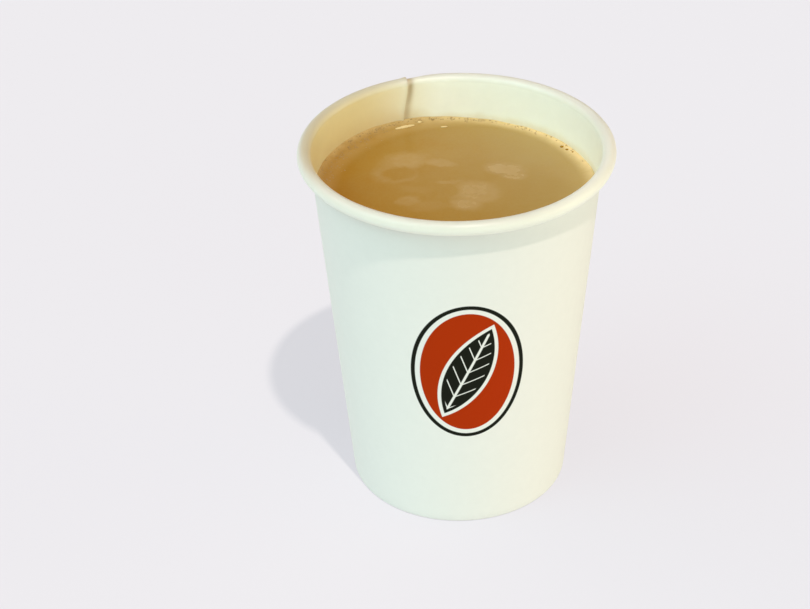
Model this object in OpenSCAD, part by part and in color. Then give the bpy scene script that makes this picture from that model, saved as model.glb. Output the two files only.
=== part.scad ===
// Masala chai in its paper cup.
// The origin is the centre of the foot on the table, +Z is up, and all sizes are in millimetres.
// The cup is two sheets of coated paper: a wall that is rolled outwards at the rim and folded
// inwards at the foot, and a base disc whose skirt is held in that fold. The tea fills it.

/* [Cup] */
// Diameter over the rolled rim
rim_d = 80; // [72:0.5:100]
// Height from the table to the top of the rim
cup_h = 98; // [70:1:140]
// Diameter over the foot
foot_d = 57.6; // [46:0.2:66]
// Thickness of the coated paper
paper_t = 0.4; // [0.25:0.05:0.55]

/* [Rolled rim] */
// Thickness of the roll, across the curled paper
roll_d = 3.5; // [2.4:0.1:4.5]
// Angle that the curl turns through, from the wall's inner face to its free edge
curl_sweep = 300; // [270:5:310]

/* [Foot and base] */
// Depth of the hollow under the base disc
recess_h = 6.5; // [5:0.5:12]
// How far the folded-in hem stops short of the base disc
hem_stop = 1; // [0.4:0.1:2]
// How far the fold is pressed flat where it stands
foot_flat = 0.06; // [0.02:0.01:0.1]

/* [Seam] */
// Width of the overlap where the wall's two edges are glued
seam_w = 7; // [4:0.5:10]
// How far the overlap's outer edge stops short of the roll and of the fold
seam_stop = 0.6; // [0.3:0.1:2]
// Direction of the seam round the cup, anticlockwise from the right-hand side
seam_az = 116.5; // [0:0.5:359.5]

/* [Tea] */
// How far the tea's surface lies below the top of the rim
tea_drop = 12.8; // [5:0.2:50]

/* [Hidden] */
$fn = 96;

// Clearance between layers of paper, and between the paper and the tea
layer_gap = 0.05;
// How far a shape runs into its neighbour, so that the two become one sheet
sheet_join = 0.05;

roll_r = roll_d / 2;
// Three layers of paper and the two clearances between them make the thickness of the fold
fold_r = (3 * paper_t + 2 * layer_gap) / 2;
fold_z = fold_r - foot_flat;
fold_axis_r = foot_d / 2 - fold_r;
hem_top = recess_h - hem_stop;
tea_z = cup_h - tea_drop;
floor_z = recess_h + paper_t;

// The wall is a cone. Its slant frame has its origin at the centre of the fold, +Y up along the
// slant and +X outwards, so the layers of paper are straight strips in it.
wall_in_x = fold_r - paper_t;
skirt_out_x = wall_in_x - layer_gap;
skirt_in_x = skirt_out_x - paper_t;

// The roll's inner side continues the wall's inner face, which sets the slant's length and angle.
roll_x = wall_in_x + roll_r;
rise = cup_h - roll_r - fold_z;
spread = rim_d / 2 - roll_r - fold_axis_r;
slant_len = sqrt(rise * rise + spread * spread - roll_x * roll_x);
slant = atan2(spread, rise) - atan2(roll_x, slant_len);

// Radius, at height z, of the cone that lies x outwards of the slant's own line
function cone_r(x, z) = fold_axis_r + x * cos(slant) + (z - fold_z + x * sin(slant)) * tan(slant);

// Places a section in the slant frame
module on_slant() {
    translate([fold_axis_r, fold_z]) rotate(-slant) children();
}

// A strip of paper in the slant frame, from x outwards and from y up
module strip(x, y, thickness, length) {
    translate([x, y]) square([thickness, length]);
}

// Section of the fold: half a ring round the skirt's lower edge, pressed flat where it stands
module fold_section() {
    intersection() {
        on_slant() difference() {
            circle(fold_r);
            circle(fold_r - paper_t);
            translate([-2 * fold_r, 0]) square([4 * fold_r, 2 * fold_r]);
        }
        square([foot_d, 2 * fold_r]);
    }
}

// Section of the rolled rim: a ring, open between the curl's free edge and the wall
module roll_section() {
    mouth_r = 2 * roll_d;
    on_slant() translate([roll_x, slant_len]) difference() {
        circle(roll_r);
        circle(roll_r - paper_t);
        polygon([
            [0, 0],
            mouth_r * [cos(curl_sweep - 180), -sin(curl_sweep - 180)],
            mouth_r * [-1, -1],
            mouth_r * [-1, 0]
        ]);
    }
}

// The wall: one sheet from the folded hem, up the cone, to the rolled rim, with its glued overlap
module cup_wall() {
    hem_len = (hem_top - fold_z) / cos(slant);
    overlap_len = slant_len - roll_r - 2 * seam_stop;
    color("#F3F0E2") {
        rotate_extrude() {
            fold_section();
            on_slant() strip(wall_in_x, -sheet_join, paper_t, slant_len + 2 * sheet_join);
            on_slant() strip(-fold_r, -sheet_join, paper_t, hem_len + sheet_join);
            roll_section();
        }
        intersection() {
            rotate_extrude() on_slant()
                strip(fold_r - sheet_join, seam_stop, paper_t + sheet_join, overlap_len);
            rotate(seam_az) translate([0, -seam_w / 2, 0]) cube([rim_d, seam_w, cup_h]);
        }
    }
}

// The base: a disc that carries the tea, with a skirt turned down into the fold
module cup_base() {
    skirt_len = (floor_z - fold_z) / cos(slant);
    color("#EFE9D6") rotate_extrude() {
        intersection() {
            on_slant() strip(skirt_in_x, 0, paper_t, skirt_len + paper_t);
            square([foot_d, floor_z]);
        }
        translate([0, recess_h]) square([cone_r(skirt_in_x, recess_h) + paper_t / 2, paper_t]);
    }
}

// The tea, from the base disc up to its level surface
module tea() {
    bottom_z = floor_z + layer_gap;
    color("#AE8744") rotate_extrude() polygon([
        [0, bottom_z],
        [cone_r(skirt_out_x, bottom_z), bottom_z],
        [cone_r(skirt_out_x, tea_z), tea_z],
        [0, tea_z]
    ]);
}

cup_wall();
cup_base();
tea();
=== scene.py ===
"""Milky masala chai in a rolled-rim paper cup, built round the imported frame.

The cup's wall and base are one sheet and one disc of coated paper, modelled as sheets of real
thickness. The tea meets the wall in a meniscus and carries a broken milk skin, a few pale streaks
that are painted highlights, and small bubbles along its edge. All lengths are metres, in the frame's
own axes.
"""

import math
import random

import bmesh
import bpy
from bpy.props import FloatProperty, FloatVectorProperty, IntProperty, PointerProperty
from mathutils import Matrix, Vector, noise


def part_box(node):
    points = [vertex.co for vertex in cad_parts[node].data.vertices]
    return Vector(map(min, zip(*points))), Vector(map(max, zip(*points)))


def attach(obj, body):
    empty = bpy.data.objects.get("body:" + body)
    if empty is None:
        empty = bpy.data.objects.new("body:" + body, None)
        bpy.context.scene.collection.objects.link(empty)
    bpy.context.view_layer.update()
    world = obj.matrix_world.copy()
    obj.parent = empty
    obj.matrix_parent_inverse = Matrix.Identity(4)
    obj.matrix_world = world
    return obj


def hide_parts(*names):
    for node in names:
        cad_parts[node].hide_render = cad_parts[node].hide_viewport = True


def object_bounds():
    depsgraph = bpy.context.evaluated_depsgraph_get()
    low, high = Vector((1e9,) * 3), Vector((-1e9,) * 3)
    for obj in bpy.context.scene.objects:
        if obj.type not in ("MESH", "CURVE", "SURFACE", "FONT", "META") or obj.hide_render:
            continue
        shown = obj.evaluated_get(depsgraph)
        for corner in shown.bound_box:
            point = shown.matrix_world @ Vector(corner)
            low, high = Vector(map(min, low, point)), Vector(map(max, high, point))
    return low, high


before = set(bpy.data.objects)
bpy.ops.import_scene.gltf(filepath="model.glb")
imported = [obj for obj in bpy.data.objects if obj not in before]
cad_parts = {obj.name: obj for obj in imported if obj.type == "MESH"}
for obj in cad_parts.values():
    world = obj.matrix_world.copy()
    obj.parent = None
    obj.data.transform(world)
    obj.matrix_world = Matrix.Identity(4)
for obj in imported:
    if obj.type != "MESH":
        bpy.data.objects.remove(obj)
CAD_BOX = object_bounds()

bl_info = {
    "name": "Masala Chai Cup",
    "version": (1, 0, 0),
    "blender": (4, 5, 0),
    "location": "View3D > Sidebar > Chai",
    "description": "Builds milky tea in a rolled-rim paper cup",
    "category": "Add Mesh",
}

MM = 0.001
TURN = 2 * math.pi
ORIGIN = (0, 0, 0)
UP = (0, 0, 1)
BODY = "root"

# The radius that unevenness and the painted highlight streaks are laid out at, before they are fitted to the
# cup
LAYOUT_RADIUS = 35 * MM

# Typical indices of refraction: of board, of polyethylene, and of water with milk in it
BOARD_IOR = 1.5
POLYETHYLENE_IOR = 1.51
MILK_IOR = 1.34


# ---------------------------------------------------------------- small helpers


def linear(hex_colour):
    """An sRGB hex colour as linear red, green, blue and alpha."""
    parts = [int(hex_colour[i : i + 2], 16) / 255 for i in (1, 3, 5)]
    return tuple(p / 12.92 if p <= 0.04045 else ((p + 0.055) / 1.055) ** 2.4 for p in parts) + (1.0,)


def smooth(low, high, value):
    """0 below low, 1 above high, and an even ease between them."""
    t = min(1.0, max(0.0, (value - low) / (high - low)))
    return t * t * (3 - 2 * t)


def turn_between(angle, centre):
    """The signed turn from centre to angle, from -pi to pi."""
    return (angle - centre + math.pi) % TURN - math.pi


def polar(point):
    """Direction of a point round the cup's axis, and its distance from the axis."""
    return math.atan2(point.y, point.x), math.hypot(point.x, point.y)


def at(angle, r, z):
    """The point in a direction round the axis, at a radius and a height."""
    return r * math.cos(angle), r * math.sin(angle), z


def heading(angle, radius):
    """The vector whose dot product with a place is 1 at the radius in a direction, and -1 opposite it."""
    return math.cos(angle) / radius, math.sin(angle) / radius, 0


def ring_noise(angle, height, across, up, seed):
    """Noise that closes on itself round the cup: across and up are its sizes in metres."""
    return noise.noise(Vector(at(angle, LAYOUT_RADIUS / across, height / up + seed)))


def feed(tree, node, links):
    """Fills a node's inputs. An input takes a value, a socket, or a node's first output."""
    for key, value in links.items():
        if isinstance(value, bpy.types.Node):
            value = value.outputs[0]
        if isinstance(value, bpy.types.NodeSocket):
            tree.links.new(value, node.inputs[key])
        else:
            node.inputs[key].default_value = value


def add(tree, kind, links=None, **settings):
    """Adds a shader node with its settings and what feeds its inputs."""
    made = tree.nodes.new("ShaderNode" + kind)
    for name, value in settings.items():
        setattr(made, name, value)
    feed(tree, made, links or {})
    return made


def new_material(name):
    """An empty node material with its output, its Principled shader and its object coordinates."""
    material = bpy.data.materials.new(name)
    material.use_nodes = True
    tree = material.node_tree
    tree.nodes.clear()
    shader = add(tree, "BsdfPrincipled")
    add(tree, "OutputMaterial", {"Surface": shader})
    place = add(tree, "TexCoord").outputs["Object"]
    return material, tree, shader, place


def new_object(mesh, name, materials):
    """Turns a bmesh into an object at the origin, in the scene."""
    data = bpy.data.meshes.new(name)
    mesh.to_mesh(data)
    mesh.free()
    for material in materials:
        data.materials.append(material)
    made = bpy.data.objects.new(name, data)
    bpy.context.scene.collection.objects.link(made)
    return made


def finish_piece(mesh, name, materials, node=None):
    """Makes a piece of the object from a bmesh, smooth shaded, riding on the cup's one body."""
    piece = new_object(mesh, name, materials)
    piece.data.shade_smooth()
    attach(piece, BODY)
    if node:
        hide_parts(node)


def spin_line(mesh, line, steps):
    """Spins a chain of vertices in the XZ plane right round the Z axis, and closes its poles."""
    verts = [mesh.verts.new(point) for point in line]
    edges = [mesh.edges.new(pair) for pair in zip(verts, verts[1:])]
    bmesh.ops.spin(mesh, geom=verts + edges, cent=ORIGIN, axis=UP, angle=TURN, steps=steps, use_merge=True)
    bmesh.ops.remove_doubles(mesh, verts=mesh.verts, dist=1e-7)
    bmesh.ops.recalc_face_normals(mesh, faces=mesh.faces)


# ---------------------------------------------------------------- settings


def size_setting(name, description, metres, precision=4):
    """A length that a user can change."""
    return FloatProperty(name=name, description=description, default=metres, unit="LENGTH",
                         precision=precision)


def angle_setting(name, description, degrees):
    """An angle that a user can change."""
    return FloatProperty(name=name, description=description, default=math.radians(degrees),
                         unit="ROTATION", subtype="ANGLE")


def colour_setting(name, description, hex_colour):
    """A colour that a user can change."""
    return FloatVectorProperty(name=name, description=description, default=linear(hex_colour), size=4,
                               subtype="COLOR")


class CHAI_PG_cup(bpy.types.PropertyGroup):
    """Sizes and colours of the paper cup."""

    foot: size_setting("Foot", "Diameter over the foot", 57.6 * MM)
    paper: size_setting("Paper", "Thickness of the coated paper", 0.4 * MM, precision=5)
    roll: size_setting("Rim roll", "Thickness of the rolled rim", 3.5 * MM)
    curl: angle_setting("Curl", "Angle that the rim's curl turns through", 300)
    hem: size_setting("Hem", "Height of the folded-in hem", 5.5 * MM)
    layer_gap: size_setting("Layer gap", "Clearance between layers of paper", 0.05 * MM, precision=5)
    press: size_setting("Press", "How far the fold is pressed flat where it stands", 0.06 * MM, precision=5)
    sway: size_setting("Unevenness", "Most that the wall and rim stray from true", 0.15 * MM, precision=5)
    seam: angle_setting("Seam", "Direction of the inner layer's edge in the overlap", 113)
    seam_lean: angle_setting("Seam lean", "Turn of the seam where it goes over the rim", -3)
    overlap: size_setting("Overlap", "Width of the glued overlap", 7 * MM)
    outside: colour_setting("Outside", "Uncoated face of the paper", "#EBE9DF")
    inside: colour_setting("Inside", "Coated face of the paper", "#FEFCEA")
    edge: colour_setting("Cut edge", "Cut edge of the paper", "#E0D3B2")
    # Tea stain and painted shadow in the crease beside the inner layer's edge.
    crease_stain_and_shadow: colour_setting("Wicked edge", "Where tea has crept into the cut edge", "#8F7440")
    # Painted shade on the coated face over the curl.
    curl_shade: colour_setting("Over the curl", "Coated face where it is drawn over the curl", "#CBC8BA")
    # Painted warm shade on the coated face inside the washed side.
    warm_shade: colour_setting("Yellowing", "Tint of the coated face on the washed side", "#E2D2AD")


class CHAI_PG_badge(bpy.types.PropertyGroup):
    """The plain badge printed on the front."""

    width: size_setting("Width", "Width of the oval", 29 * MM)
    height: size_setting("Height", "Height of the oval", 42 * MM)
    centre: size_setting("Centre height", "Height of the oval's centre above the table", 51 * MM)
    turn: angle_setting("Turn", "Turn of the oval from the cup's front", 4.2)
    line: size_setting("Outline", "Width of the dark outline", 1.1 * MM, precision=5)
    key: size_setting("Keyline", "Width of the pale line inside the outline", 1.3 * MM, precision=5)
    field: colour_setting("Field", "Ink of the oval", "#AD3000")
    dark: colour_setting("Dark", "Ink of the outline and the leaf", "#191B12")


class CHAI_PG_tea(bpy.types.PropertyGroup):
    """Sizes and colours of the tea."""

    bite: size_setting("Reach", "How far the tea reaches into the wall", 0.12 * MM, precision=5)
    creep: size_setting("Creep", "How far the tea creeps up the wall all round", 0.5 * MM, precision=5)
    wash: size_setting("Wash", "How much further it has washed up on one side", 1.7 * MM, precision=5)
    wash_turn: angle_setting("Wash direction", "Direction of the washed side", 158)
    reach: size_setting("Meniscus", "Distance over which the meniscus flattens out", 1.9 * MM, precision=5)
    bubbles: IntProperty(name="Bubbles", description="Number of small bubbles along the edge",
                         default=300, min=0)
    liquid: colour_setting("Tea", "Milky tea", "#956803")
    pale: colour_setting("Pale tea", "Where more milk has drifted", "#9F8448")
    thin: colour_setting("Thin tea", "Tea that thins out against the wall", "#D5BA82")
    skin: colour_setting("Milk skin", "Thin skin of milk on the tea", "#AC8F5D")
    # Painted highlight: the pale streaks on the meniscus beside the seam.
    froth: colour_setting("Froth", "Pale froth", "#DFC68E")


class CHAI_PG_stage(bpy.types.PropertyGroup):
    """Floor, light and camera."""

    floor: colour_setting("Floor", "Pale floor", "#6C6C6C")
    glow: colour_setting("Floor glow", "Even light that the floor gives off", "#C5C4CA")
    distance: size_setting("Distance", "From the cup's middle to the camera", 0.52, precision=2)
    elevation: angle_setting("Elevation", "Angle that the camera looks down at", 33.54)
    roll: angle_setting("Roll", "Roll of the camera", -1.53)
    aside: size_setting("Aside", "How far left of the cup the camera aims", 13.8 * MM)
    lens: FloatProperty(name="Lens", description="Focal length in millimetres", default=88.0, min=1)


class CHAI_PG_all(bpy.types.PropertyGroup):
    """All settings of the cup of chai."""

    cup: PointerProperty(type=CHAI_PG_cup)
    badge: PointerProperty(type=CHAI_PG_badge)
    tea: PointerProperty(type=CHAI_PG_tea)
    stage: PointerProperty(type=CHAI_PG_stage)


# ---------------------------------------------------------------- the cup's lines


class CupForm:
    """The cup's lines, from the frame and the settings.

    The wall is a cone. Its slant frame has its origin at the centre of the foot's fold, +Y up along
    the slant and +X outwards, so the layers of paper are straight strips in it.
    """

    def __init__(self, cup):
        low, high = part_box("cup_wall")
        self.cup = cup
        self.rim_r = min(high.x, high.y, -low.x, -low.y) - cup.sway
        self.height = high.z - cup.sway
        self.fold_r = (3 * cup.paper + 2 * cup.layer_gap) / 2
        self.fold_z = self.fold_r - cup.press
        self.axis_r = cup.foot / 2 - self.fold_r
        self.roll_r = cup.roll / 2
        self.wall_in = self.fold_r - cup.paper
        self.roll_x = self.wall_in + self.roll_r
        rise = self.height - self.roll_r - self.fold_z
        spread = self.rim_r - self.roll_r - self.axis_r
        self.length = math.sqrt(rise**2 + spread**2 - self.roll_x**2)
        self.slant = math.atan2(spread, rise) - math.atan2(self.roll_x, self.length)

    def place(self, x, y):
        """Radius and height of a point of the slant frame."""
        c, s = math.cos(self.slant), math.sin(self.slant)
        return self.axis_r + x * c + y * s, self.fold_z - x * s + y * c

    def turn(self, x, y):
        """A direction of the slant frame as a change of radius and of height."""
        c, s = math.cos(self.slant), math.sin(self.slant)
        return x * c + y * s, -x * s + y * c

    def inner_radius(self, z):
        """Radius of the wall's inner face at height z."""
        x = self.wall_in
        return self.axis_r + x * math.cos(self.slant) + (
            z - self.fold_z + x * math.sin(self.slant)) * math.tan(self.slant)

    def seam_at(self, z):
        """Direction of the inner layer's cut edge at height z: it leans as it goes over the rim."""
        return self.cup.seam + self.cup.seam_lean * smooth(self.height - 12 * MM, self.height, z)

    def stray(self, angle, z):
        """How far the paper strays outwards at a place: more with height, in an oval, waves and dents."""
        free = smooth(8 * MM, 60 * MM, z)
        oval = 0.35 * math.cos(2 * (angle - math.radians(75)))
        waves = 0.45 * ring_noise(angle, z, across=24 * MM, up=60 * MM, seed=3.1)
        dents = 0.30 * ring_noise(angle, z, across=7 * MM, up=12 * MM, seed=9.7)
        return self.cup.sway * free * (oval + waves + dents)

    def lift(self, angle, z):
        """How far the rim waves up and down at a place: nothing below its top 25 mm."""
        free = smooth(self.height - 25 * MM, self.height, z)
        wave = 0.5 * math.sin(2 * angle + 0.6) + 0.8 * ring_noise(angle, 0, across=18 * MM, up=1, seed=5.3)
        return self.cup.sway * free * 0.6 * wave


# ---------------------------------------------------------------- materials


def paper_bump(tree, place, grain, depth):
    """Fibre relief of the board: fine grain over a slow cockle.

    Real fibres are some 0.03 mm wide. The grain is drawn as coarse as it needs to be to show.
    """
    fibres = add(tree, "TexNoise", {"Vector": place, "Scale": 1 / grain, "Detail": 4.0, "Roughness": 0.6})
    cockle = add(tree, "TexNoise", {"Vector": place, "Scale": 1 / (6 * MM), "Detail": 2.0})
    fine = add(tree, "Bump", {"Height": fibres, "Distance": depth, "Strength": 0.35})
    return add(tree, "Bump", {"Height": cockle, "Distance": 0.05 * MM, "Strength": 0.5, "Normal": fine})


def off_axis(tree, place):
    """Distance of a place from the cup's axis."""
    flat = add(tree, "VectorMath", {0: place, 1: (1, 1, 0)}, operation="MULTIPLY")
    return add(tree, "VectorMath", {0: flat}, operation="LENGTH").outputs["Value"]


def mottled(tree, place, colour, size, spread):
    """The colour clouded by up to spread, in patches of about the size."""
    cloud = add(tree, "TexNoise", {"Vector": place, "Scale": 1 / size, "Detail": 5.0, "Roughness": 0.65})
    amount = add(tree, "MapRange", {"Value": cloud, "From Min": 0.3, "From Max": 0.7,
                                    "To Min": 1 - spread, "To Max": 1.0})
    return add(tree, "VectorMath", {0: colour[:3], "Scale": amount}, operation="SCALE")


def badge_coordinates(tree, place, badge):
    """Arc length and height from the badge's centre on the wall, as one vector."""
    axes = add(tree, "SeparateXYZ", {"Vector": place})
    forward = add(tree, "Math", {0: axes.outputs["Y"], 1: -1.0}, operation="MULTIPLY")
    around = add(tree, "Math", {0: axes.outputs["X"], 1: forward}, operation="ARCTAN2")
    turned = add(tree, "Math", {0: around, 1: badge.turn}, operation="SUBTRACT")
    across = add(tree, "Math", {0: turned, 1: off_axis(tree, place)}, operation="MULTIPLY")
    up = add(tree, "Math", {0: axes.outputs["Z"], 1: badge.centre}, operation="SUBTRACT")
    return add(tree, "CombineXYZ", {"X": across, "Y": up})


def inside_of(tree, distance, limit):
    """1 where a distance is under a limit, with an edge as soft as printed ink's."""
    edge = 0.08 * MM
    return add(tree, "MapRange", {"Value": distance, "From Min": limit - edge, "From Max": limit + edge,
                                  "To Min": 1.0, "To Max": 0.0})


def badge_print(tree, place, paper, badge):
    """The badge over the paper's colour: an oval field with a pale line, a dark outline and a leaf in it."""
    spot = badge_coordinates(tree, place, badge)
    half_w, half_h = badge.width / 2, badge.height / 2
    outer = add(tree, "VectorMath", {0: spot, 1: (1 / half_w, 1 / half_h, 0)}, operation="MULTIPLY")
    span = add(tree, "VectorMath", {0: outer}, operation="LENGTH").outputs["Value"]
    # The span is 1 on the oval. Near it, the distance to it is the span's excess over 1 divided by how
    # fast the span grows, which is slope / span.
    slope_of = add(tree, "VectorMath", {0: spot, 1: (1 / half_w**2, 1 / half_h**2, 0)}, operation="MULTIPLY")
    slope = add(tree, "VectorMath", {0: slope_of}, operation="LENGTH").outputs["Value"]
    excess = add(tree, "Math", {0: span, 1: 1.0}, operation="SUBTRACT")
    scaled = add(tree, "Math", {0: excess, 1: span}, operation="MULTIPLY")
    oval = add(tree, "Math", {0: scaled, 1: slope}, operation="DIVIDE")

    # The leaf's blade lies where two discs overlap. Its length and width here are half sizes.
    leaf_l, leaf_w, leaf_lean = 14.5 * MM, 5.2 * MM, math.radians(24)
    bow = (leaf_l**2 + leaf_w**2) / (2 * leaf_w)
    tilted = add(tree, "VectorRotate", {"Vector": spot, "Angle": leaf_lean}, rotation_type="Z_AXIS")
    sides = [add(tree, "VectorMath", {0: tilted, 1: (side * (bow - leaf_w), 0, 0)}, operation="DISTANCE")
             .outputs["Value"] for side in (-1, 1)]
    leaf = add(tree, "Math", {0: sides[0], 1: sides[1]}, operation="MAXIMUM")
    leaf_axes = add(tree, "SeparateXYZ", {"Vector": tilted})
    off_rib = add(tree, "Math", {0: leaf_axes.outputs["X"]}, operation="ABSOLUTE")
    # Veins leave the rib in pairs and rise towards the tip.
    vein_step, vein_rise = 4.2 * MM, 1.1
    rib_half, vein_half, leaf_line = 0.32 * MM, 0.2 * MM, 0.9 * MM
    rise = add(tree, "Math", {0: off_rib, 1: -vein_rise, 2: leaf_axes.outputs["Y"]}, operation="MULTIPLY_ADD")
    rows = add(tree, "Math", {0: rise, 1: 1 / vein_step}, operation="MULTIPLY")
    vein = add(tree, "Math", {0: rows, 1: 0.5}, operation="PINGPONG")
    vein_mm = add(tree, "Math", {0: vein, 1: vein_step}, operation="MULTIPLY")
    rib_or_vein = add(tree, "Math", {0: inside_of(tree, off_rib, rib_half),
                                     1: inside_of(tree, vein_mm, vein_half)}, operation="MAXIMUM")
    blade = inside_of(tree, leaf, bow - leaf_line)
    lines = add(tree, "Math", {0: rib_or_vein, 1: blade}, operation="MULTIPLY")

    layers = [
        (inside_of(tree, oval, 0), badge.dark),
        (inside_of(tree, oval, -badge.line), paper),
        (inside_of(tree, oval, -badge.line - badge.key), badge.field),
        (inside_of(tree, leaf, bow + leaf_line), paper),
        (inside_of(tree, leaf, bow), badge.dark),
        (lines, paper),
    ]
    colour = paper
    for mask, ink in layers:
        colour = add(tree, "Mix", {"Factor": mask, "A": colour, "B": ink}, data_type="RGBA").outputs["Result"]
    return colour


def printed_paper(cup, badge):
    """Solid bleached board, printed and dull: soft light, hardly any gloss, faint fibre relief."""
    material, tree, shader, place = new_material("SolidBleachedBoard_OffsetPrinted")
    board = mottled(tree, place, cup.outside, size=2.5 * MM, spread=0.02)
    feed(tree, shader, {
        "Base Color": badge_print(tree, place, board, badge),
        "Roughness": 0.62,
        "IOR": BOARD_IOR,
        "Specular IOR Level": 0.05,
        "Normal": paper_bump(tree, place, grain=0.35 * MM, depth=0.02 * MM),
    })
    return material


def curl_colour(tree, place, coat, tea, form):
    """The coat's colour, with painted shade over the curl and painted warm shade inside the washed side.

    The painted shade is lighter opposite the wash, where the high lamp falls on the rim, and the top of the
    curl gets less painted warm shade than the wall under it.
    """
    middle = form.rim_r - form.roll_r
    within = add(tree, "MapRange", {"Value": off_axis(tree, place), "From Min": middle + 1.5 * MM,
                                    "From Max": middle - 0.2 * MM}, interpolation_type="SMOOTHSTEP")
    # How far under the rim's top the painted shade starts, outside and inside, and where it is full
    outside_drop, inside_drop, full_drop = 2.9 * MM, 1.8 * MM, 0.15 * MM
    start = add(tree, "MapRange", {"Value": within, "To Min": form.height - outside_drop,
                                   "To Max": form.height - inside_drop})
    height = add(tree, "SeparateXYZ", {"Vector": place}).outputs["Z"]
    high = add(tree, "MapRange", {"Value": height, "From Min": start, "From Max": form.height - full_drop})
    side = add(tree, "VectorMath", {0: place, 1: heading(tea.wash_turn, middle)},
               operation="DOT_PRODUCT").outputs["Value"]
    far = add(tree, "MapRange", {"Value": side, "From Min": -0.74, "From Max": -0.98,
                                 "To Min": 1.0, "To Max": 0.75})
    curled = add(tree, "Math", {0: high, 1: far}, operation="MULTIPLY")
    # Painted shade over the curl, lighter opposite the wash.
    dull = add(tree, "Mix", {"Factor": curled, "A": coat, "B": form.cup.curl_shade},
               data_type="RGBA").outputs["Result"]
    facing = add(tree, "MapRange", {"Value": side, "From Min": 0.42, "From Max": 0.92},
                 interpolation_type="SMOOTHSTEP")
    spared = add(tree, "Math", {0: curled, 1: -0.35, 2: 1.0}, operation="MULTIPLY_ADD")
    washed = add(tree, "Math", {0: within, 1: facing}, operation="MULTIPLY")
    amount = add(tree, "Math", {0: washed, 1: spared}, operation="MULTIPLY")
    # Painted warm shade inside the washed side, less on top of the curl.
    warm_shade = add(tree, "Mix", {"Factor": amount, "A": (1, 1, 1, 1), "B": form.cup.warm_shade},
                   data_type="RGBA").outputs["Result"]
    return add(tree, "VectorMath", {0: dull, 1: warm_shade}, operation="MULTIPLY").outputs["Vector"]


def coated_paper(cup, tea, form, level):
    """Board with an extruded polyethylene coat: smooth and waxy, with a soft sheen, tinted above the tea."""
    material, tree, shader, place = new_material("PolyethyleneCoatedBoard_Calendered")
    coat = mottled(tree, place, cup.inside, size=3 * MM, spread=0.03)
    # The tint has a ragged top. Between the seam and the wash it reaches higher and is deeper.
    height = add(tree, "SeparateXYZ", {"Vector": place}).outputs["Z"]
    ripple = add(tree, "TexNoise", {"Vector": place, "Scale": 1 / (5 * MM), "Detail": 3.0})
    ragged = add(tree, "Math", {0: ripple, 1: -2.2 * MM, 2: height}, operation="MULTIPLY_ADD")
    between = heading((tea.wash_turn + cup.seam) / 2, form.rim_r)
    side = add(tree, "VectorMath", {0: place, 1: between}, operation="DOT_PRODUCT").outputs["Value"]
    by_side = {"Value": side, "From Min": 0.72, "From Max": 0.88}
    top = add(tree, "MapRange", {**by_side, "To Min": level + 1.8 * MM, "To Max": level + 7.0 * MM})
    depth = add(tree, "MapRange", {**by_side, "To Min": 0.4, "To Max": 0.6})
    wet = add(tree, "MapRange", {"Value": ragged, "From Min": level - 0.8 * MM, "From Max": top,
                                 "To Min": depth, "To Max": 0.0}, interpolation_type="SMOOTHSTEP")
    dry = curl_colour(tree, place, coat, tea, form)
    washed = add(tree, "Mix", {"Factor": wet, "A": dry, "B": tea.thin}, data_type="RGBA").outputs["Result"]
    # Tea stain and painted shadow in the crease beside the seam.
    crease = add(tree, "Attribute", attribute_name="stain_and_shadow").outputs["Fac"]
    colour = add(tree, "Mix", {"Factor": crease, "A": washed, "B": cup.crease_stain_and_shadow},
                 data_type="RGBA").outputs["Result"]
    feed(tree, shader, {
        "Base Color": colour,
        "Roughness": 0.38,
        "IOR": POLYETHYLENE_IOR,
        "Subsurface Weight": 0.3,
        "Subsurface Radius": (1.0, 1.0, 0.9),
        "Subsurface Scale": 0.7 * MM,
        "Normal": paper_bump(tree, place, grain=0.5 * MM, depth=0.015 * MM),
    })
    return material


def cut_edge_paper(cup):
    """The board's cut edge: open fibres, dull and a little darker."""
    material, tree, shader, place = new_material("BoardCutEdge_OpenFibre")
    fibres = mottled(tree, place, cup.edge, size=0.5 * MM, spread=0.12)
    feed(tree, shader, {"Base Color": fibres, "Roughness": 0.85})
    return material


# Patches of milk skin on the tea: centre, half sizes and turn, in millimetres and degrees, and strength.
# A negative strength is a hole.
SKIN_PATCHES = [
    ((-13.0, 13.6), (7.0, 5.0), 12, 0.60),
    ((-15.6, 7.0), (6.4, 5.6), 0, 0.55),
    ((-15.0, 7.2), (4.2, 3.5), 10, -0.75),
    ((-4.6, 12.4), (5.4, 2.6), -18, 0.62),
    ((-3.6, 8.8), (4.6, 2.2), -10, -0.45),
    ((12.4, 9.0), (6.4, 3.4), -14, 1.0),
    ((14.6, 5.6), (4.2, 2.4), -10, 0.85),
    ((3.8, -1.8), (6.8, 5.6), 20, 0.75),
    ((7.0, -4.2), (5.4, 3.8), 40, 0.70),
    ((2.2, -8.4), (4.8, 3.4), -15, 0.70),
    ((-2.0, -1.6), (3.2, 2.6), 0, -0.80),
    ((-1.6, 2.6), (4.6, 1.3), 8, 0.50),
    ((-12.0, -6.6), (3.6, 2.6), 10, 0.42),
    ((-7.0, -9.0), (6.0, 3.0), 12, 0.22),
    ((-10.0, -1.0), (6.0, 2.4), -15, 0.22),
    ((4.0, 5.0), (26.0, 15.0), 0, 0.16),
]


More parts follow.
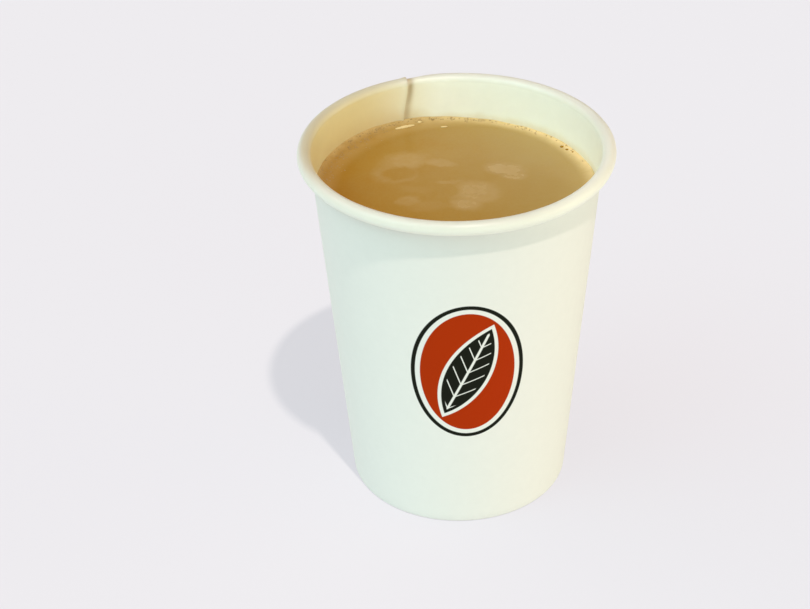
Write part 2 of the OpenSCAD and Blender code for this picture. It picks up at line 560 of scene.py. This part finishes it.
def skin_mask(tree, place):
    """0 to 1: how thick the milk skin is at a place on the tea."""
    # A swirl pushes the patches' edges about, and a grain wears their strength.
    push = 3.4 * MM
    swirl = add(tree, "TexNoise", {"Vector": place, "Scale": 1 / (3.6 * MM), "Detail": 6.0,
                                   "Roughness": 0.62})
    centred = add(tree, "VectorMath", {0: swirl.outputs["Color"], 1: (0.5, 0.5, 0.5)}, operation="SUBTRACT")
    pushed = add(tree, "VectorMath", {0: centred, 1: (push,) * 3, 2: place}, operation="MULTIPLY_ADD")
    any_height = 1000
    mask = None
    for (x, y), (half_x, half_y), turn, strength in SKIN_PATCHES:
        local = add(tree, "Mapping", {"Vector": pushed, "Location": (x * MM, y * MM, 0),
                                      "Rotation": (0, 0, math.radians(turn)),
                                      "Scale": (half_x * MM, half_y * MM, any_height)},
                    vector_type="TEXTURE")
        span = add(tree, "VectorMath", {0: local}, operation="LENGTH").outputs["Value"]
        patch = add(tree, "MapRange", {"Value": span, "From Min": 0.45, "From Max": 1.25,
                                       "To Min": abs(strength), "To Max": 0.0},
                    interpolation_type="SMOOTHSTEP")
        if mask is None:
            mask = patch
        else:
            mask = add(tree, "Math", {0: mask, 1: patch},
                       operation="MAXIMUM" if strength > 0 else "SUBTRACT", use_clamp=True)
    grain = add(tree, "TexNoise", {"Vector": place, "Scale": 1 / (3 * MM), "Detail": 5.0,
                                   "Roughness": 0.55})
    worn = add(tree, "MapRange", {"Value": grain, "From Min": 0.32, "From Max": 0.68,
                                  "To Min": 0.6, "To Max": 1.0})
    return add(tree, "Math", {0: mask, 1: worn}, operation="MULTIPLY", use_clamp=True)


def tea_body(tree, place, tea, radius):
    """The liquid's colour: paler to the right, slowly clouded, and thinned out at the wall.

    There a wide, faint band is broadest on the washed side, and a narrow fringe is strongest opposite it.
    """
    across = add(tree, "VectorMath", {0: place, 1: (0.95 / radius, 0.3 / radius, 0)},
                 operation="DOT_PRODUCT").outputs["Value"]
    clouds = add(tree, "TexNoise", {"Vector": place, "Scale": 1 / (14 * MM), "Detail": 5.0,
                                    "Roughness": 0.6})
    specks = add(tree, "TexNoise", {"Vector": place, "Scale": 1 / (0.7 * MM), "Detail": 2.0})
    slow = add(tree, "Math", {0: clouds, 1: 0.9, 2: across}, operation="MULTIPLY_ADD")
    drift = add(tree, "Math", {0: specks, 1: 0.5, 2: slow}, operation="MULTIPLY_ADD")
    paleness = add(tree, "MapRange", {"Value": drift, "From Min": -0.25, "From Max": 1.65})
    body = add(tree, "Mix", {"Factor": paleness, "A": tea.liquid, "B": tea.pale},
               data_type="RGBA").outputs["Result"]

    inwards = add(tree, "Math", {0: radius, 1: off_axis(tree, place)}, operation="SUBTRACT")
    side = add(tree, "VectorMath", {0: place, 1: heading(tea.wash_turn, radius)},
               operation="DOT_PRODUCT").outputs["Value"]
    ripple = add(tree, "TexNoise", {"Vector": place, "Scale": 1 / (2.4 * MM), "Detail": 5.0,
                                    "Roughness": 0.65})
    uneven = add(tree, "Math", {0: ripple, 1: 2.2 * MM, 2: inwards}, operation="MULTIPLY_ADD")
    width = add(tree, "MapRange", {"Value": side, "From Min": -0.2, "From Max": 0.9,
                                   "To Min": 2.6 * MM, "To Max": 7.0 * MM})
    share = add(tree, "Math", {0: uneven, 1: width}, operation="DIVIDE")
    band = add(tree, "MapRange", {"Value": share, "From Min": 0.5, "From Max": 1.15,
                                  "To Min": 0.19, "To Max": 0.0}, interpolation_type="SMOOTHSTEP")

    by_side = {"Value": side, "From Min": -0.6, "From Max": 0.8}
    reach = add(tree, "MapRange", {**by_side, "To Min": 4.4 * MM, "To Max": 1.7 * MM})
    full = add(tree, "MapRange", {**by_side, "To Min": 0.95, "To Max": 0.32})
    back = add(tree, "SeparateXYZ", {"Vector": place}).outputs["Y"]
    behind = add(tree, "MapRange", {"Value": back, "From Min": -2 * MM, "From Max": 14 * MM,
                                    "To Min": 0.4, "To Max": 1.0})
    strength = add(tree, "Math", {0: full, 1: behind}, operation="MULTIPLY")
    fringe = add(tree, "MapRange", {"Value": inwards, "From Min": -0.2 * MM, "From Max": reach,
                                    "To Min": strength, "To Max": 0.0}, interpolation_type="SMOOTHSTEP")

    both = add(tree, "Math", {0: band, 1: fringe}, operation="ADD", use_clamp=True)
    patchy = add(tree, "MapRange", {"Value": ripple, "From Min": 0.3, "From Max": 0.7,
                                    "To Min": 0.7, "To Max": 1.25})
    thin = add(tree, "Math", {0: both, 1: patchy}, operation="MULTIPLY", use_clamp=True)
    return add(tree, "Mix", {"Factor": thin, "A": body, "B": tea.thin}, data_type="RGBA").outputs["Result"]


def milky_tea(tea, radius):
    """Tea boiled with milk: an opaque, glossy, water-like surface, with paler patches of dull milk skin."""
    material, tree, shader, place = new_material("MilkTea_Boiled")
    skin = skin_mask(tree, place)
    body = tea_body(tree, place, tea, radius)
    colour = add(tree, "Mix", {"Factor": skin, "A": body, "B": tea.skin}, data_type="RGBA").outputs["Result"]
    feed(tree, shader, {
        "Base Color": colour,
        "Roughness": add(tree, "MapRange", {"Value": skin, "To Min": 0.2, "To Max": 0.32}),
        "IOR": MILK_IOR,
        "Normal": add(tree, "Bump", {"Height": skin, "Distance": 0.03 * MM, "Strength": 0.25}),
    })
    return material


def froth(tea):
    """Painted highlight on the meniscus: a pale, mottled colour with a wet shine, laid on streaks."""
    material, tree, shader, place = new_material("PaintedHighlight_PaleStreak")
    streak_colour = mottled(tree, place, tea.froth, size=0.6 * MM, spread=0.12)
    feed(tree, shader, {"Base Color": streak_colour, "Roughness": 0.35, "IOR": MILK_IOR})
    return material


def bubble_film(name, colour):
    """Bubbles in milky tea: a tight, glossy film in the colour of what lies under it."""
    material, tree, shader, place = new_material(name)
    film = mottled(tree, place, colour, size=0.5 * MM, spread=0.2)
    feed(tree, shader, {"Base Color": film, "Roughness": 0.25, "IOR": MILK_IOR})
    return material


def pale_floor(stage):
    """A plain matt table top with a glow of its own, which keeps it evenly pale."""
    material, tree, shader, _ = new_material("MattLaminate_Pale")
    feed(tree, shader, {
        "Base Color": stage.floor,
        "Emission Color": stage.glow,
        "Emission Strength": 1.0,
        "Roughness": 0.9,
        "Specular IOR Level": 0.0,
    })
    return material


# ---------------------------------------------------------------- pieces


def strip(x, y_from, y_to, count):
    """A straight run of paper in the slant frame. The coated side is on the left of the way along."""
    facing = 1 if y_to < y_from else -1
    return [(x, y_from + (y_to - y_from) * i / count, facing, 0) for i in range(count)]


def bend(centre, radius, start, end, count, facing):
    """A bent run of paper, in degrees. facing is 1 where the coated side faces away from the centre."""
    angles = [math.radians(start + (end - start) * i / count) for i in range(count)]
    return [(centre[0] + radius * math.cos(a), centre[1] + radius * math.sin(a),
             facing * math.cos(a), facing * math.sin(a)) for a in angles]


class CHAI_OT_cup_wall(bpy.types.Operator):
    """Rolls the cup's wall from one sheet of paper: hem, fold, cone and curled rim"""

    bl_idname = "chai.cup_wall"
    bl_label = "Cup wall"

    # Columns of faces round the cup, and how much they crowd at the seam
    columns = 320
    crowding = 0.85

    def path(self, form):
        """The middle of the sheet from the hem's edge to the curl's edge."""
        cup = form.cup
        middle = form.fold_r - cup.paper / 2
        hem_len = (cup.hem - form.fold_z) / math.cos(form.slant)
        curl_end = 180 - math.degrees(cup.curl)
        hem_steps, fold_steps, wall_steps, curl_steps = 4, 8, 50, 30
        return (strip(-middle, hem_len, 0, hem_steps)
                + bend((0, 0), middle, 180, 360, fold_steps, -1)
                + strip(middle, 0, form.length, wall_steps)
                + bend((form.roll_x, form.length), form.roll_r - cup.paper / 2, 180, curl_end, curl_steps, 1))

    def seam_step(self, form, arc, coated):
        """How far a face gives way, in thicknesses of paper, at an arc length from the inner edge."""
        settle = 5 * MM
        curl_up, curl_reach = 0.5, 1.3 * MM
        before = math.exp(-((arc / settle) ** 2)) if arc < 0 else 0.0
        if coated:
            lifted = curl_up * math.exp(-((arc / curl_reach) ** 2)) if arc >= 0 else 0.0
            return before - lifted
        if arc < 0:
            return before
        return 1.0 if arc < form.cup.overlap else 0.0

    def seam_stain_and_shadow(self, form, angle, z, arc):
        """How dark the tea stain and painted shadow in the crease beside the inner layer's edge are, from 0
        to 1: most at the rim.
        """
        beside, width = 0.8 * MM, 1.05 * MM
        low_darkening, rim_darkening = 0.5, 0.42
        crease = math.exp(-(((arc + beside) / width) ** 2))
        high = smooth(form.height - 7 * MM, form.height - 1 * MM, z)
        patchy = 0.75 + 0.5 * ring_noise(angle, z, across=2 * MM, up=3 * MM, seed=4.4)
        return crease * (low_darkening + rim_darkening * high) * patchy

    def execute(self, context):
        settings = context.scene.chai
        cup, form = settings.cup, CupForm(settings.cup)
        mesh = bmesh.new()
        layers = mesh.verts.layers.float
        coated, stain_and_shadow, step, out_r, out_z = [
            layers.new(name) for name in ("coated", "stain_and_shadow", "step", "out_r", "out_z")]
        faces = [[(x + side * nx * cup.paper / 2, y + side * ny * cup.paper / 2, nx, ny, side)
                  for x, y, nx, ny in self.path(form)] for side in (1, -1)]
        verts = []
        for x, y, nx, ny, side in faces[0] + faces[1][::-1]:
            r, z = form.place(x, y)
            vert = mesh.verts.new((r, 0, z))
            vert[coated] = 1.0 if side > 0 else 0.0
            vert[out_r], vert[out_z] = form.turn(nx, ny)
            verts.append(vert)
        edges = [mesh.edges.new((a, b)) for a, b in zip(verts, verts[1:] + verts[:1])]
        bmesh.ops.spin(mesh, geom=verts + edges, cent=ORIGIN, axis=UP, angle=TURN, steps=self.columns,
                       use_merge=True)
        bmesh.ops.recalc_face_normals(mesh, faces=mesh.faces)
        for vert in mesh.verts:
            z = vert.co.z
            spun, r = polar(vert.co)
            spun = turn_between(spun, cup.seam)
            angle = form.seam_at(z) + spun - self.crowding * math.sin(spun)
            arc = (spun - self.crowding * math.sin(spun)) * r
            vert[step] = self.seam_step(form, arc, vert[coated] > 0.5)
            if vert[coated] > 0.5:
                # Tea stain and painted shadow beside the seam, on the coated face.
                vert[stain_and_shadow] = self.seam_stain_and_shadow(form, angle, z, arc)
            give = -cup.paper * vert[step]
            r += give * vert[out_r] + form.stray(angle, z)
            z = max(0.0, z + give * vert[out_z] + form.lift(angle, z))
            vert.co = at(angle, r, z)
        # A face is outside (material 0), coated (1), or a cut edge (2), which joins both sides or steps.
        for face in mesh.faces:
            share = sum(v[coated] for v in face.verts) / len(face.verts)
            steps = [v[step] for v in face.verts]
            cut = 0.1 < share < 0.9 or max(steps) - min(steps) > 0.5
            face.material_index = 2 if cut else round(share)
        # The coat's material reads the tea stain and painted shadow.
        for name in ("coated", "step", "out_r", "out_z"):
            layers.remove(layers[name])
        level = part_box("tea")[1].z
        materials = [printed_paper(cup, settings.badge), coated_paper(cup, settings.tea, form, level),
                     cut_edge_paper(cup)]
        finish_piece(mesh, "cup_wall_paper", materials, "cup_wall")
        return {"FINISHED"}


class CHAI_OT_cup_base(bpy.types.Operator):
    """Presses the cup's base: a disc of paper with its skirt turned down into the fold"""

    bl_idname = "chai.cup_base"
    bl_label = "Cup base"

    columns = 192
    shoulder_r = 1.1 * MM
    shoulder_steps = 6
    rings = 14
    sag = 0.25 * MM

    def execute(self, context):
        settings = context.scene.chai
        cup, form = settings.cup, CupForm(settings.cup)
        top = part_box("cup_base")[1].z
        skirt = form.wall_in - cup.layer_gap - cup.paper
        foot_r, foot_z = form.place(skirt, 0)
        top_r = foot_r + (top - foot_z) * math.tan(form.slant)
        # Both faces go up the skirt, round the shoulder and in to the middle.
        outer = [form.place(skirt + cup.paper, 0)]
        inner = [(foot_r, foot_z)]
        centre = (top_r + cup.paper - self.shoulder_r, top - self.shoulder_r)
        for i in range(self.shoulder_steps + 1):
            a = math.radians(90 * i / self.shoulder_steps)
            for face, bend_r in ((outer, self.shoulder_r), (inner, self.shoulder_r - cup.paper)):
                face.append((centre[0] + bend_r * math.cos(a), centre[1] + bend_r * math.sin(a)))
        radii = [centre[0] * (1 - i / self.rings) for i in range(1, self.rings + 1)]
        outer += [(r, top) for r in radii]
        inner += [(r, top - cup.paper) for r in radii]
        mesh = bmesh.new()
        line = [(r, 0, z) for r, z in inner[::-1] + outer]
        spin_line(mesh, line, self.columns)
        for vert in mesh.verts:
            angle, r = polar(vert.co)
            slack = 1 - smooth(0.6, 0.95, r / top_r)
            uneven = 0.6 + 0.4 * ring_noise(angle, r, across=16 * MM, up=20 * MM, seed=2.2)
            vert.co.z -= self.sag * slack * uneven
        # A tea level far below the cup leaves this coat without the tint.
        coat = coated_paper(cup, settings.tea, form, level=-1.0)
        finish_piece(mesh, "cup_base_disc", [coat], "cup_base")
        return {"FINISHED"}


class TeaForm:
    """The tea's surface: level in the middle, with a meniscus that has washed up on one side."""

    def __init__(self, tea, form):
        self.tea, self.form = tea, form
        self.low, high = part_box("tea")
        self.level = high.z

    def climb(self, angle):
        """Height of the contact line over the level, round the cup."""
        side = math.cos(turn_between(angle, self.tea.wash_turn))
        wash = self.tea.wash * smooth(-0.1, 1.0, side)
        return self.tea.creep + wash + 0.25 * MM * ring_noise(angle, 0, across=5 * MM, up=1, seed=7.7)

    def edge_radius(self, angle):
        """Radius of the wall's inner face at the contact line."""
        z = self.level + self.climb(angle)
        return self.form.inner_radius(z) + self.form.stray(angle, z)

    def height(self, angle, r):
        """Height of the tea's surface at a place."""
        inwards = max(0.0, self.edge_radius(angle) - r)
        swell = 0.03 * MM * ring_noise(angle, r, across=12 * MM, up=9 * MM, seed=1.4) * min(1.0, r / (8 * MM))
        return self.level + self.climb(angle) * math.exp(-inwards / self.tea.reach) + swell


class CHAI_OT_tea(bpy.types.Operator):
    """Pours the tea: a body of liquid up to its surface, with its meniscus at the wall"""

    bl_idname = "chai.tea"
    bl_label = "Tea"

    # Columns round the cup, rings on the surface and rows up the hidden side, which stays clear of the
    # wall and stops short of the surface
    columns = 256
    rings = 56
    rows = 12
    clear = 0.2 * MM
    short = 1 * MM

    def execute(self, context):
        settings = context.scene.chai
        form = CupForm(settings.cup)
        surface = TeaForm(settings.tea, form)
        low_z = surface.low.z
        line = [(0, 0, low_z)]
        for i in range(self.rows):
            z = low_z + (surface.level - self.short - low_z) * i / (self.rows - 1)
            line.append((form.inner_radius(z) - self.clear, 0, z))
        mark = form.inner_radius(surface.level)
        # The rings crowd towards the wall, where the meniscus curves.
        top = [mark * (1 - (i / self.rings) ** 2.0) for i in range(self.rings + 1)]
        line += [(r, 0, surface.level) for r in top]
        mesh = bmesh.new()
        spin_line(mesh, line, self.columns)
        for vert in mesh.verts:
            if vert.co.z < surface.level - self.short / 2:
                continue
            angle, r = polar(vert.co)
            r *= (surface.edge_radius(angle) + settings.tea.bite) / mark
            vert.co = at(angle, r, surface.height(angle, r))
        finish_piece(mesh, "tea_liquid", [milky_tea(settings.tea, mark)], "tea")
        return {"FINISHED"}


class CHAI_OT_highlight_streaks(bpy.types.Operator):
    """Lays short pale streaks on the meniscus beside the seam: painted highlights"""

    bl_idname = "chai.froth"
    bl_label = "Froth streaks"

    # Direction of the start, sweep, distance in from the wall, and thickness: degrees and millimetres
    streaks = [(109.0, 9.5, 1.9, 0.75), (105.2, 2.2, 1.2, 0.5), (94.0, 3.4, 3.8, 0.55)]
    sides = 10
    steps_per_degree = 3
    raised = 0.05 * MM
    flatness = 0.45

    def execute(self, context):
        settings = context.scene.chai
        surface = TeaForm(settings.tea, CupForm(settings.cup))
        mesh = bmesh.new()
        for start, sweep, inwards, thick in self.streaks:
            first = math.radians(start)
            steps = max(6, round(sweep * self.steps_per_degree))
            made = bmesh.ops.create_circle(mesh, segments=self.sides, radius=thick * MM / 2)["verts"]
            bmesh.ops.rotate(mesh, verts=made, cent=ORIGIN, matrix=Matrix.Rotation(math.pi / 2, 3, "X"))
            bmesh.ops.translate(mesh, verts=made, vec=(LAYOUT_RADIUS, 0, 0))
            edges = list({e for v in made for e in v.link_edges})
            before = set(mesh.verts) - set(made)
            bmesh.ops.spin(mesh, geom=made + edges, cent=ORIGIN, axis=UP, angle=math.radians(sweep),
                           steps=steps)
            for vert in set(mesh.verts) - before:
                along, off = polar(vert.co)
                share = along / math.radians(sweep)
                angle = first + math.radians(sweep) * share
                lumps = 1 + 0.35 * noise.noise(Vector((angle * 60, 0, start)))
                taper = math.sqrt(max(0.0, 1 - (2 * share - 1) ** 2)) * lumps
                r = surface.edge_radius(angle) - inwards * MM + (off - LAYOUT_RADIUS) * taper
                z = surface.height(angle, r) + self.raised + vert.co.z * self.flatness * taper
                vert.co = at(angle, r, z)
        bmesh.ops.remove_doubles(mesh, verts=mesh.verts, dist=1e-6)
        bmesh.ops.recalc_face_normals(mesh, faces=mesh.faces)
        finish_piece(mesh, "highlight_streaks", [froth(settings.tea)])
        return {"FINISHED"}


class CHAI_OT_bubbles(bpy.types.Operator):
    """Strings small bubbles along the tea's edge, with three larger ones on the right"""

    bl_idname = "chai.bubbles"
    bl_label = "Bubbles"

    # Direction, distance in from the wall and radius: degrees and millimetres
    large = [(36.0, 1.5, 0.5), (32.7, 1.3, 0.42), (29.5, 0.8, 0.3)]
    seed = 11
    flatness = 0.45

    def blow(self, mesh, surface, angle, inwards, size):
        """One bubble, a flattened ball half sunk in the tea."""
        r = surface.edge_radius(angle) - inwards
        spot = Vector(at(angle, r, surface.height(angle, r)))
        flat = Matrix.Diagonal((1, 1, self.flatness, 1))
        bmesh.ops.create_uvsphere(mesh, u_segments=10, v_segments=6, radius=size,
                                  matrix=Matrix.Translation(spot) @ flat)

    def execute(self, context):
        tea = context.scene.chai.tea
        surface = TeaForm(tea, CupForm(context.scene.chai.cup))
        draw = random.Random(self.seed)
        mesh = bmesh.new()
        # Most lie at the back left, and there they also stray further from the wall.
        for _ in range(tea.bubbles):
            angle = math.radians(draw.triangular(15, 185, 150))
            size = draw.uniform(0.1, 0.26) * MM
            spread = 0.5 + 1.4 * smooth(100, 150, math.degrees(angle))
            inwards = size + abs(draw.gauss(0, spread)) * MM
            self.blow(mesh, surface, angle, inwards, size)
        finish_piece(mesh, "edge_bubbles", [bubble_film("MilkTea_SmallBubbles", tea.skin)])
        mesh = bmesh.new()
        for turn, inwards, size in self.large:
            self.blow(mesh, surface, math.radians(turn), inwards * MM, size * MM)
        finish_piece(mesh, "large_bubbles", [bubble_film("MilkTea_LargeBubbles", tea.liquid)])
        return {"FINISHED"}


class CHAI_OT_stage(bpy.types.Operator):
    """Sets the pale floor, the soft light and the camera"""

    bl_idname = "chai.stage"
    bl_label = "Stage"

    # Direction round from the front to the right, height above the floor, and colour of each glow
    glows = [
        (30, 10, (2.0, 2.5, 2.2)),
        (90, 10, (3.0, 2.7, 1.85)),
        (240, 45, (1.79, 1.32, 1.16)),
        (300, 45, (2.23, 3.77, 4.01)),
        (0, 80, (1.50, 0.86, 0.96)),
        (180, 35, (0.30, 0.30, 0.30)),
    ]
    tightness = 10.0
    floor_half = 6.0

    def floor(self, stage):
        """Lays the floor, and returns the collection that its own lamp lights."""
        mesh = bmesh.new()
        bmesh.ops.create_grid(mesh, x_segments=1, y_segments=1, size=self.floor_half)
        floor = new_object(mesh, "floor", [pale_floor(stage)])
        lit = bpy.data.collections.new("floor_light")
        lit.objects.link(floor)
        return lit

    def sky(self, scene):
        """A sky of six broad glows: cool at the front left, warm and low on the right. It is seen plain."""
        world = bpy.data.worlds.new("soft_sky")
        world.use_nodes = True
        tree = world.node_tree
        tree.nodes.clear()
        way = add(tree, "TexCoord").outputs["Generated"]
        total = (0.0, 0.0, 0.0)
        for turn, height, colour in self.glows:
            a, e = math.radians(turn), math.radians(height)
            direction = (math.cos(e) * math.sin(a), -math.cos(e) * math.cos(a), math.sin(e))
            facing = add(tree, "VectorMath", {0: way, 1: direction},
                         operation="DOT_PRODUCT").outputs["Value"]
            front = add(tree, "Math", {0: facing, 1: 0.0}, operation="MAXIMUM")
            glow = add(tree, "Math", {0: front, 1: self.tightness}, operation="POWER")
            tinted = add(tree, "VectorMath", {0: colour, "Scale": glow}, operation="SCALE")
            total = add(tree, "VectorMath", {0: total, 1: tinted.outputs["Vector"]}, operation="ADD")
            total = total.outputs["Vector"]
        light = add(tree, "Background", {"Color": total, "Strength": 1.0})
        seen = add(tree, "Background", {"Color": linear("#EEECEF"), "Strength": 1.0})
        ray = add(tree, "LightPath").outputs["Is Camera Ray"]
        both = add(tree, "MixShader", {0: ray, 1: light, 2: seen})
        add(tree, "OutputWorld", {"Surface": both})
        scene.world = world

    def lamp(self, name, energy, only=None):
        """A lamp high in front, a little to the right, for all or only for what one collection holds."""
        data = bpy.data.lights.new(name, "SUN")
        data.energy = energy
        data.angle = math.radians(2)
        data.color = linear("#FFF3EB")[:3]
        lamp = bpy.data.objects.new(name, data)
        towards = Vector((15.5, -42, 95))
        lamp.rotation_euler = towards.to_track_quat("Z", "Y").to_euler()
        if only:
            lamp.light_linking.receiver_collection = only
        bpy.context.scene.collection.objects.link(lamp)

    def camera(self, scene, stage):
        """Aims the camera down at the cup's middle from the front, a little to its left."""
        middle = Vector((0, 0, CAD_BOX[1][2] / 2))
        data = bpy.data.cameras.new("camera")
        data.lens = stage.lens
        data.sensor_width = 36
        data.clip_start = 0.01
        camera = bpy.data.objects.new("camera", data)
        away = Vector((0, -math.cos(stage.elevation), math.sin(stage.elevation)))
        camera.location = middle + away * stage.distance
        aim = middle + Vector((-stage.aside, 0, 0.8 * MM))
        level = (aim - camera.location).to_track_quat("-Z", "Y")
        camera.rotation_euler = (level.to_matrix() @ Matrix.Rotation(stage.roll, 3, "Z")).to_euler()
        scene.collection.objects.link(camera)
        scene.camera = camera

    def execute(self, context):
        scene, stage = context.scene, context.scene.chai.stage
        lit = self.floor(stage)
        self.sky(scene)
        self.lamp("high_lamp", 1.3)
        self.lamp("floor_lamp", 2.35, lit)
        self.camera(scene, stage)
        scene.view_settings.view_transform = "Standard"
        return {"FINISHED"}


# ---------------------------------------------------------------- the add-on


STEPS = [CHAI_OT_cup_wall, CHAI_OT_cup_base, CHAI_OT_tea, CHAI_OT_highlight_streaks, CHAI_OT_bubbles, CHAI_OT_stage]


class CHAI_PT_panel(bpy.types.Panel):
    """Lists the steps that build the cup of chai"""

    bl_idname = "CHAI_PT_panel"
    bl_label = "Masala chai"
    bl_space_type = "VIEW_3D"
    bl_region_type = "UI"
    bl_category = "Chai"

    def draw(self, context):
        for step in STEPS:
            self.layout.operator(step.bl_idname)


CLASSES = [CHAI_PG_cup, CHAI_PG_badge, CHAI_PG_tea, CHAI_PG_stage, CHAI_PG_all, *STEPS, CHAI_PT_panel]


def register():
    """Registers the classes and gives the scene its settings."""
    for cls in CLASSES:
        bpy.utils.register_class(cls)
    bpy.types.Scene.chai = PointerProperty(type=CHAI_PG_all)


def unregister():
    """Takes the settings and the classes away again."""
    del bpy.types.Scene.chai
    for cls in reversed(CLASSES):
        bpy.utils.unregister_class(cls)


def main():
    """Builds every piece and the stage."""
    register()
    bpy.ops.chai.cup_wall()
    bpy.ops.chai.cup_base()
    bpy.ops.chai.tea()
    bpy.ops.chai.froth()
    bpy.ops.chai.bubbles()
    bpy.ops.chai.stage()


if __name__ == "__main__":
    main()
